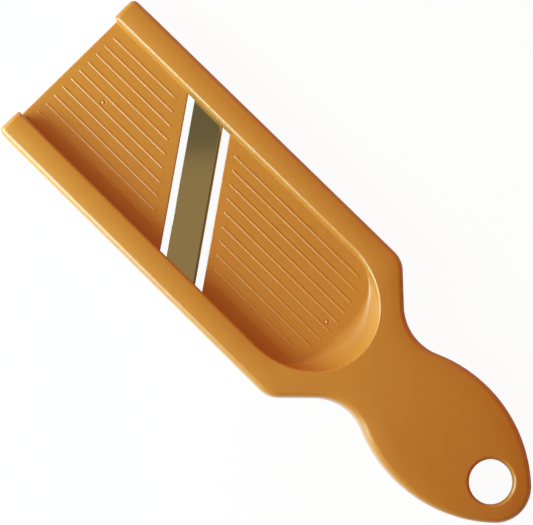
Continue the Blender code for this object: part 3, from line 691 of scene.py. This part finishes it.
def blade_mesh():
    """The strip blade: its section extruded on the skew, with ends parallel to the rails.

    The section is flat on top with an eased back edge. Its bevel, on the handle's side, is an arc that
    leaves the flat without a corner and steepens towards the cutting edge, which ends in a fine second
    bevel.
    """
    half = BLADE_WIDTH / 2
    low = BLADE_TOP - BLADE_THICKNESS
    turn = np.linspace(0.0, RIGHT, 5)
    back = np.column_stack([
        -half + BLADE_EASE * (1 - np.sin(turn)), BLADE_TOP - BLADE_EASE * (1 - np.cos(turn)),
    ])
    lean = np.linspace(0.0, BEVEL_END, 9)
    radius = (BLADE_BEVEL - FINE_BEVEL) / math.sin(BEVEL_END)
    bevel = np.column_stack([
        half - BLADE_BEVEL + radius * np.sin(lean), BLADE_TOP - radius * (1 - np.cos(lean)),
    ])
    edge = np.array([[half, low + BLADE_EDGE], [half, low], [-half, low]])
    section = np.vstack([bevel, edge, back[::-1]])
    sections = []
    for y in (-BLADE_END, BLADE_END):
        x = BLADE_X + section[:, 0] / math.cos(SKEW) - math.tan(SKEW) * y
        sections.append(np.column_stack([x, np.full(len(section), y), section[:, 1]]))
    holes = []
    for i, (x, _, _, y) in enumerate(fixing_places()):
        holes.append(rod("peg_hole_%d" % i, x, y, PEG_RADIUS + GAP, 0.0, HEIGHT))
    return carved(turned_loft("strip", sections), holes)


def screw_mesh(name, x, y, seat):
    """A self-tapping screw, head down: level rings about its axis, less a tapered cross in the head.

    The pan head is a quarter ellipse on a short rim. Round the shank the radius is the core plus a
    triangular ridge that climbs one THREAD_PITCH a turn, and both shrink to nothing along the point.
    """
    angles = np.arange(SCREW_AROUND) / SCREW_AROUND * 4 * RIGHT
    crown = np.linspace(0.1, RIGHT, 8)
    rim = SCREW_HEAD_HEIGHT - SCREW_HEAD_CROWN
    foot = [SCREW_HEAD_RADIUS, SCREW_RADIUS]
    head_radius = np.concatenate([SCREW_HEAD_RADIUS * np.sin(crown), foot])
    head_level = np.concatenate([-rim - SCREW_HEAD_CROWN * np.cos(crown), [0, 0]])
    rise = np.linspace(0.02, 1.0, THREAD_LEVELS)[:, None] * SCREW_LENGTH
    share = np.clip((SCREW_LENGTH - rise) / SCREW_POINT, 0.03, 1.0)
    turn = (rise / THREAD_PITCH - angles / (4 * RIGHT)) % 1.0
    start = np.clip(rise / THREAD_PITCH - THREAD_START, 0.0, 1.0)
    ridge = np.clip(1 - np.abs(turn - 0.5) / THREAD_HALF, 0.0, 1.0) * start
    shank = (SCREW_CORE + (SCREW_RADIUS - SCREW_CORE) * ridge) * share
    radius = np.vstack([
        np.repeat(head_radius[:, None], SCREW_AROUND, 1), np.full((1, SCREW_AROUND), SCREW_CORE), shank,
    ])
    level = np.concatenate([head_level, [0.0], rise[:, 0]]) + seat
    plans = np.stack([x + radius * np.cos(angles), y + radius * np.sin(angles)], -1)
    cross = []
    for wide, long, over in CROSS_LEVELS:
        arm = [(long, wide), (wide, wide), (wide, long), (-wide, long), (-wide, wide), (-long, wide)]
        arm = np.array(arm) * MM
        cross.append(ring(np.vstack([arm, -arm]) + (x, y), seat - SCREW_HEAD_HEIGHT + over * MM))
    screw = turned_loft(name, [ring(plan, height) for plan, height in zip(plans, level)])
    return carved(screw, [turned_loft("cross", cross)])


def add_piece(name, mesh, material, node, sharp=20.0):
    """Shows a finished mesh in place of a CAD node, shaded smooth except along real edges."""
    mesh.name = name
    mesh.materials.clear()
    mesh.materials.append(material)
    mesh.shade_smooth()
    mesh.set_sharp_from_angle(angle=math.radians(sharp))
    piece = bpy.data.objects.new(name, mesh)
    bpy.context.scene.collection.objects.link(piece)
    weighted = piece.modifiers.new("face_weighted", "WEIGHTED_NORMAL")
    weighted.keep_sharp = True
    weighted.weight = 100
    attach(piece, "root")
    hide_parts(node)


def linear(hexcode):
    """sRGB hex to linear RGBA, by the sRGB curve."""
    values = [int(hexcode[i : i + 2], 16) / 255 for i in (1, 3, 5)]
    return (*[v / 12.92 if v <= 0.04045 else ((v + 0.055) / 1.055) ** 2.4 for v in values], 1.0)


def add_node(tree, kind, settings=None, links=None):
    """Adds one node. Settings name input sockets or properties, and links join inputs to outputs."""
    node = tree.nodes.new(kind)
    for key, value in (settings or {}).items():
        if isinstance(key, int) or key in node.inputs:
            node.inputs[key].default_value = value
        else:
            setattr(node, key, value)
    for key, source in (links or {}).items():
        tree.links.new(source, node.inputs[key])
    return node


def new_material(name):
    """An empty node material and its tree."""
    material = bpy.data.materials.new(name)
    material.use_nodes = True
    material.node_tree.nodes.clear()
    return material, material.node_tree


def moulded_abs():
    """ABS injection-moulded in a polished tool.

    The resin gives one even orange that light enters a little, and the polished steel a soft gloss.
    Shrinkage leaves the ripple, which bends the highlights slightly, and a fine grain keeps them from
    being glassy.
    """
    material, tree = new_material("moulded_orange_abs")
    place = add_node(tree, "ShaderNodeTexCoord").outputs["Object"]
    ripple = add_node(tree, "ShaderNodeTexNoise", {"Scale": RIPPLE_WAVES, "Detail": 2.0}, {
        "Vector": place,
    }).outputs["Fac"]
    grain = add_node(tree, "ShaderNodeTexNoise", {"Scale": GRAIN_WAVES, "Detail": 2.0}, {
        "Vector": place,
    }).outputs["Fac"]
    colour = add_node(tree, "ShaderNodeMix", {
        "data_type": "RGBA", "A": linear("#D48A36"), "B": linear("#D08634"),
    }, {"Factor": ripple})
    rough = add_node(tree, "ShaderNodeMapRange", {"To Min": 0.27, "To Max": 0.33}, {"Value": ripple})
    waves = add_node(tree, "ShaderNodeBump", {"Strength": 0.015, "Distance": MM}, {"Height": ripple})
    bump = add_node(tree, "ShaderNodeBump", {"Strength": 0.02, "Distance": 0.1 * MM}, {
        "Height": grain, "Normal": waves.outputs[0],
    })
    shader = add_node(tree, "ShaderNodeBsdfPrincipled", {
        "IOR": 1.56, "Specular IOR Level": 0.7, "Subsurface Weight": 0.3, "Subsurface Scale": 3.0 * MM,
        "Subsurface Radius": (1.0, 0.35, 0.1),
    }, {
        "Base Color": colour.outputs["Result"], "Roughness": rough.outputs[0],
        "Normal": bump.outputs[0],
    })
    add_node(tree, "ShaderNodeOutputMaterial", {}, {"Surface": shader.outputs[0]})
    return material


def ground_stainless(name, base, roughness):
    """Stainless steel finished along its length.

    Grinding leaves fine streaks, which draw the highlights out across them, in gloss and in height. The
    blade is ground nearly to a mirror, and the screws are duller from rolling.
    """
    material, tree = new_material(name)
    place = add_node(tree, "ShaderNodeTexCoord").outputs["Object"]
    turned = add_node(tree, "ShaderNodeMapping", {
        "Rotation": (0.0, 0.0, -SKEW), "Scale": STREAK_WAVES,
    }, {"Vector": place})
    streak = add_node(tree, "ShaderNodeTexNoise", {"Scale": 1.0, "Detail": 3.0}, {
        "Vector": turned.outputs[0],
    }).outputs["Fac"]
    rough = add_node(tree, "ShaderNodeMapRange", {
        "To Min": 0.8 * roughness, "To Max": 1.3 * roughness,
    }, {"Value": streak})
    bump = add_node(tree, "ShaderNodeBump", {"Strength": 0.04, "Distance": 0.05 * MM}, {
        "Height": streak,
    })
    shader = add_node(tree, "ShaderNodeBsdfPrincipled", {
        "Base Color": linear(base), "Metallic": 1.0,
    }, {"Roughness": rough.outputs[0], "Normal": bump.outputs[0]})
    add_node(tree, "ShaderNodeOutputMaterial", {}, {"Surface": shader.outputs[0]})
    return material


def paper_floor():
    """White paper for camera, mirror and glass rays. Mirrors see a painted shade beside the slicer: dark
    warm brown in place of its shadow.

    The painted shade lies away from the window. It reaches SHADE_REACH past the left side and half of
    that past the tip. On the right it stops under the slicer: below the tray's right wall, and from there
    on below the handle's middle line. Past the open end there is none. Each border is soft.
    """
    material, tree = new_material("white_paper")
    path = add_node(tree, "ShaderNodeLightPath")
    place = add_node(tree, "ShaderNodeTexCoord").outputs["Object"]
    parts = add_node(tree, "ShaderNodeSeparateXYZ", {}, {0: place})
    half = add_node(tree, "ShaderNodeMapRange", {
        "From Min": SHADE_NARROWS[0], "From Max": SHADE_NARROWS[1],
        "To Min": SIDE, "To Max": HANDLE_HALF,
    }, {"Value": parts.outputs["X"]})
    left = add_node(tree, "ShaderNodeMath", {"operation": "SUBTRACT"}, {
        0: parts.outputs["Y"], 1: half.outputs[0],
    })
    under = add_node(tree, "ShaderNodeMapRange", {
        "From Min": SHADE_UNDER[0], "From Max": SHADE_UNDER[1],
        "To Min": WINDOW_SIDE, "To Max": 0.0,
    }, {"Value": parts.outputs["X"]})
    right = add_node(tree, "ShaderNodeMath", {"operation": "ADD"}, {
        0: parts.outputs["Y"], 1: under.outputs[0],
    })
    white = path.outputs["Is Camera Ray"]
    for source, start, end in (
        (left.outputs[0], SHADE_REACH, 2 * SHADE_REACH),
        (right.outputs[0], 0.0, -SHADE_EDGE),
        (parts.outputs["X"], TIP + 0.5 * SHADE_REACH, TIP + SHADE_REACH),
        (parts.outputs["X"], OPEN_END + SHADE_EDGE, OPEN_END),
    ):
        border = add_node(tree, "ShaderNodeMapRange", {"From Min": start, "From Max": end}, {
            "Value": source,
        })
        white = add_node(tree, "ShaderNodeMath", {"operation": "MAXIMUM"}, {
            0: white, 1: border.outputs[0],
        }).outputs[0]
    # Painted shade: inside the mask, mirrors see this dark warm brown instead of white, standing in for
    # the slicer's shadow
    seen = add_node(tree, "ShaderNodeMix", {
        "data_type": "RGBA", "A": linear("#3F352C"), "B": linear("#FFFFFF"),
    }, {"Factor": white})
    mirrored = add_node(tree, "ShaderNodeMath", {"operation": "MAXIMUM"}, {
        0: path.outputs["Is Glossy Ray"], 1: path.outputs["Is Transmission Ray"],
    })
    clear = add_node(tree, "ShaderNodeMath", {"operation": "MAXIMUM"}, {
        0: path.outputs["Is Camera Ray"], 1: mirrored.outputs[0],
    })
    share = add_node(tree, "ShaderNodeMath", {"operation": "MULTIPLY", 1: FLOOR_GLOW}, {
        0: clear.outputs[0],
    })
    paper = add_node(tree, "ShaderNodeBsdfDiffuse", {"Color": linear("#F4F4F4")})
    glow = add_node(tree, "ShaderNodeEmission", {"Strength": 1.0}, {"Color": seen.outputs["Result"]})
    mix = add_node(tree, "ShaderNodeMixShader", {}, {
        0: share.outputs[0], 1: paper.outputs[0], 2: glow.outputs[0],
    })
    add_node(tree, "ShaderNodeOutputMaterial", {}, {"Surface": mix.outputs[0]})
    return material


def make_floor():
    """A level sheet of paper, FLOOR_REACH to each side."""
    mesh = bpy.data.meshes.new("floor")
    corners = [(x * FLOOR_REACH, y * FLOOR_REACH, 0.0) for x, y in ((-1, -1), (1, -1), (1, 1), (-1, 1))]
    mesh.from_pydata(corners, [], [(0, 1, 2, 3)])
    mesh.materials.append(paper_floor())
    floor = bpy.data.objects.new("floor", mesh)
    bpy.context.scene.collection.objects.link(floor)


def make_camera():
    """Nearly straight above the slicer, with its handle towards the lower right."""
    data = bpy.data.cameras.new("camera")
    data.sensor_width = SENSOR
    data.lens = CAMERA_LENS
    data.clip_start = 0.01
    camera = bpy.data.objects.new("camera", data)
    bpy.context.scene.collection.objects.link(camera)
    forward = (CAMERA_AIM - CAMERA_PLACE).normalized()
    right = Vector((math.cos(CAMERA_ROLL), math.sin(CAMERA_ROLL), 0.0))
    right = (right - forward * right.dot(forward)).normalized()
    turn = Matrix((right, right.cross(forward), -forward)).transposed().to_4x4()
    camera.matrix_world = Matrix.Translation(CAMERA_PLACE) @ turn
    bpy.context.scene.camera = camera


def soft_box(name, azimuth, elevation, size, radiance, colour):
    """A rectangular soft light that faces the slicer from its bearing, given in degrees."""
    azimuth, elevation = math.radians(azimuth), math.radians(elevation)
    level = math.cos(elevation)
    away = Vector((level * math.cos(azimuth), level * math.sin(azimuth), math.sin(elevation)))
    data = bpy.data.lights.new(name, "AREA")
    data.shape = "RECTANGLE"
    data.size, data.size_y = size
    data.energy = radiance * math.pi * size[0] * size[1]
    data.color = colour
    lamp = bpy.data.objects.new(name, data)
    bpy.context.scene.collection.objects.link(lamp)
    lamp.location = LAMP_AIM + LAMP_REACH * away
    lamp.rotation_euler = (-away).to_track_quat("-Z", "Y").to_euler()


def make_room():
    """A dim warm room for mirrors and shade, which the camera sees as plain white.

    Steep rays see its ceiling and the others its walls. The ceiling steps down behind the slicer and dims
    past the blade. The walls are paler behind, darker beyond the handle and darkest near the floor.
    """
    world = bpy.data.worlds.new("studio")
    bpy.context.scene.world = world
    world.use_nodes = True
    tree = world.node_tree
    tree.nodes.clear()
    ray = add_node(tree, "ShaderNodeTexCoord").outputs["Generated"]
    parts = add_node(tree, "ShaderNodeSeparateXYZ", {}, {0: ray})
    behind = add_node(tree, "ShaderNodeVectorMath", {"operation": "DOT_PRODUCT", 1: BEHIND}, {0: ray})
    past = add_node(tree, "ShaderNodeVectorMath", {"operation": "DOT_PRODUCT", 1: PAST_BLADE}, {0: ray})
    ceiling = (
        (behind.outputs["Value"], 0.2815, 0.2875, CEILING_BEHIND),
        (past.outputs["Value"], 0.04, 0.26, CEILING_DUSK),
    )
    walls = (
        (behind.outputs["Value"], 0.4, 0.85, WALLS_BEHIND),
        (parts.outputs["X"], 0.1, 0.7, WALLS_BEYOND),
        (parts.outputs["Z"], 0.4, 0.1, WALLS_FOOT),
    )
    shades = []
    for first, layers in ((CEILING, ceiling), (WALLS, walls)):
        shade = add_node(tree, "ShaderNodeRGB").outputs[0]
        shade.default_value = first
        for value, start, end, colour in layers:
            share = add_node(tree, "ShaderNodeMapRange", {
                "interpolation_type": "SMOOTHSTEP", "From Min": start, "From Max": end,
            }, {"Value": value})
            shade = add_node(tree, "ShaderNodeMix", {"data_type": "RGBA", "B": colour}, {
                "Factor": share.outputs[0], "A": shade,
            }).outputs["Result"]
        shades.append(shade)
    low = add_node(tree, "ShaderNodeMapRange", {
        "interpolation_type": "SMOOTHSTEP", "From Min": 0.95, "From Max": 0.88,
    }, {"Value": parts.outputs["Z"]})
    room = add_node(tree, "ShaderNodeMix", {"data_type": "RGBA"}, {
        "Factor": low.outputs[0], "A": shades[0], "B": shades[1],
    })
    path = add_node(tree, "ShaderNodeLightPath")
    seen = add_node(tree, "ShaderNodeMix", {"data_type": "RGBA", "B": WHITE}, {
        "Factor": path.outputs["Is Camera Ray"], "A": room.outputs["Result"],
    })
    sky = add_node(tree, "ShaderNodeBackground", {"Strength": 1.0}, {"Color": seen.outputs["Result"]})
    add_node(tree, "ShaderNodeOutputWorld", {}, {"Surface": sky.outputs[0]})


def make_light():
    """A tall window beyond the right rail, a panel off the open end, and the room."""
    soft_box("window", -124.0, 26.0, (0.48, 0.38), 8.0, (0.455, 0.93, 1.0))
    soft_box("panel", -155.0, 24.0, (0.36, 0.24), 2.0, (0.6, 1.0, 0.9))
    make_room()


def main():
    bpy.context.scene.view_settings.view_transform = "Standard"
    make_camera()
    plastic = moulded_abs()
    blade_steel = ground_stainless("ground_stainless_strip", "#C8C2B4", 0.05)
    screw_steel = ground_stainless("rolled_stainless", "#C8C4BC", 0.3)
    add_piece("frame_moulding", frame_mesh(), plastic, "slicer_frame")
    add_piece("strip_blade", blade_mesh(), blade_steel, "slicing_blade")
    for name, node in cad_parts.items():
        finish = plastic
        if name == "slicing_blade":
            finish = blade_steel
        if name.startswith("keeper_screw"):
            finish = screw_steel
            low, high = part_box(name)
            x, y = (low[0] + high[0]) / 2, (low[1] + high[1]) / 2
            screw = screw_mesh("threads", x, y, low[2] + SCREW_HEAD_HEIGHT)
            add_piece("tapping_screw_" + name[-1], screw, screw_steel, name, 35.0)
        node.data.materials.clear()
        node.data.materials.append(finish)
    make_floor()
    make_light()


main()
